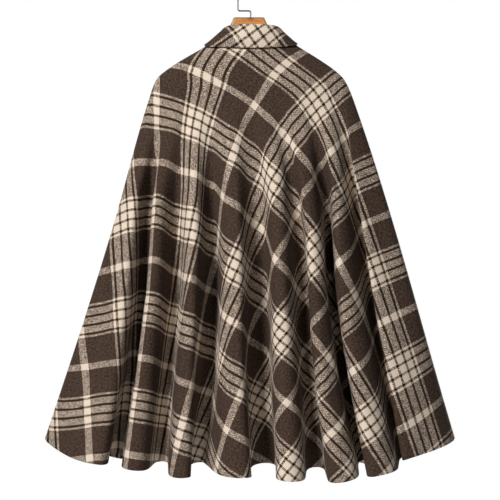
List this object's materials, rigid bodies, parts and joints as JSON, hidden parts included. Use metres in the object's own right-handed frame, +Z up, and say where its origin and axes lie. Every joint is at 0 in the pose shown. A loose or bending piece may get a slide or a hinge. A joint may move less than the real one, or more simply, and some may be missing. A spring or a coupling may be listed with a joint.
{
  "type": "poncho on a clothes hanger",
  "caption": "Wide flared wool poncho with a turn-down collar and deep hanging folds, on a wooden hanger with a wire hook.",
  "frame": {"origin": "top of the inside of the hook, where a rail carries the hanger", "axes": "+Z up, +X towards the poncho's right side seen from behind, -Y out of its back"},
  "size_m": [0.82, 0.2754, 0.9841],
  "materials": {
    "plaid_wool": "brushed twill wool in a brown and cream plaid",
    "varnished_wood": "clear varnish",
    "steel_wire": "bright drawn wire"
  },
  "bodies": {
    "root": {"back": "plaid_wool", "left_front": "plaid_wool", "right_front": "plaid_wool", "collar_stand": "plaid_wool", "collar_fall": "plaid_wool", "hanger_bar": "varnished_wood", "hanger_hook": "steel_wire"}
  },
  "joints": []
}
